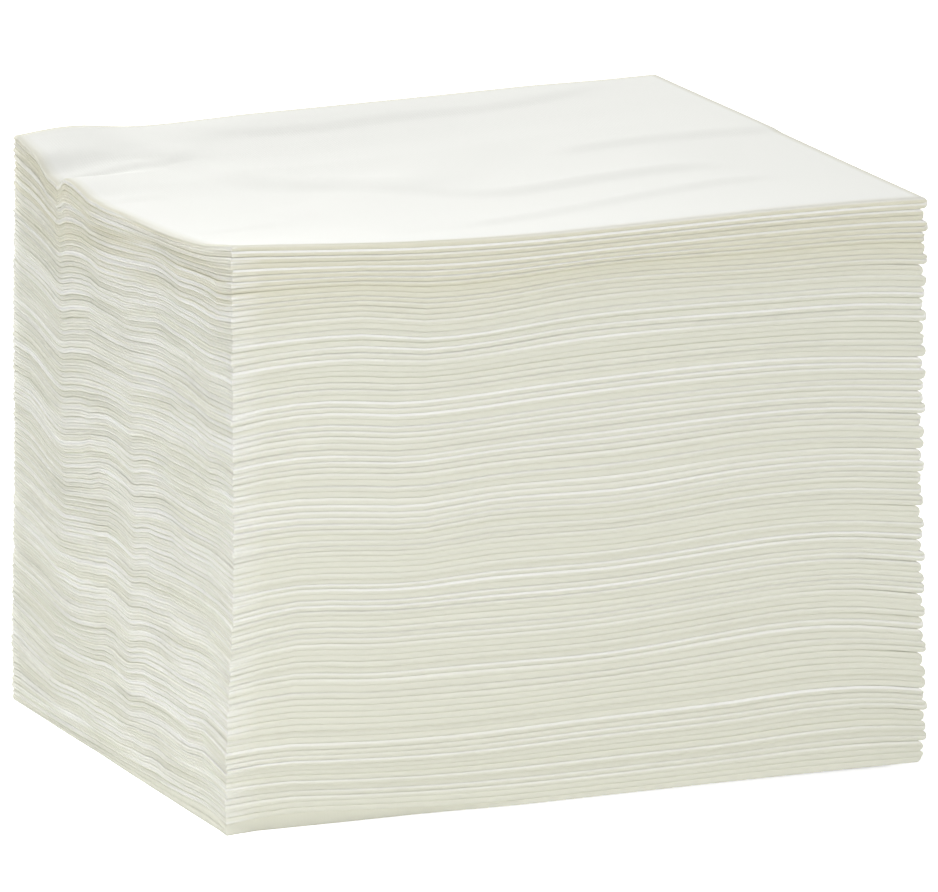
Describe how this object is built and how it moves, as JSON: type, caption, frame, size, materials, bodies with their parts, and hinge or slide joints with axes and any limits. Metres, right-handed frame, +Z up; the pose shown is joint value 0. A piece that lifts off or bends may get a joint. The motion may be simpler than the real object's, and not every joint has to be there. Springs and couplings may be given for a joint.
{
  "type": "stack of folded wipes",
  "caption": "Stack of soft off-white wipes, each folded in half both ways, with wavy layered sides and rounded folds.",
  "frame": {"origin": "centre of the stack's base, on the surface that it stands on", "axes": "+X along the long side towards the end with the big folds, +Y from the front folds to the cut edges at the back, +Z up"},
  "size_m": [0.1912, 0.1712, 0.1603],
  "materials": {
    "wipe": "soft matt nonwoven cloth"
  },
  "bodies": {
    "root": {"wipe_01": "wipe", "wipe_02": "wipe", "wipe_03": "wipe", "wipe_04": "wipe", "wipe_05": "wipe", "wipe_06": "wipe", "wipe_07": "wipe", "wipe_08": "wipe", "wipe_09": "wipe", "wipe_10": "wipe", "wipe_11": "wipe", "wipe_12": "wipe", "wipe_13": "wipe", "wipe_14": "wipe", "wipe_15": "wipe", "wipe_16": "wipe", "wipe_17": "wipe", "wipe_18": "wipe", "wipe_19": "wipe", "wipe_20": "wipe", "wipe_21": "wipe", "wipe_22": "wipe", "wipe_23": "wipe", "wipe_24": "wipe", "wipe_25": "wipe", "wipe_26": "wipe", "wipe_27": "wipe", "wipe_28": "wipe", "wipe_29": "wipe", "wipe_30": "wipe", "wipe_31": "wipe", "wipe_32": "wipe", "wipe_33": "wipe", "wipe_34": "wipe", "wipe_35": "wipe", "wipe_36": "wipe", "wipe_37": "wipe", "wipe_38": "wipe", "wipe_39": "wipe", "wipe_40": "wipe", "wipe_41": "wipe", "wipe_42": "wipe", "wipe_43": "wipe", "wipe_44": "wipe", "wipe_45": "wipe", "wipe_46": "wipe", "wipe_47": "wipe", "wipe_48": "wipe", "wipe_49": "wipe", "wipe_50": "wipe"}
  },
  "joints": []
}
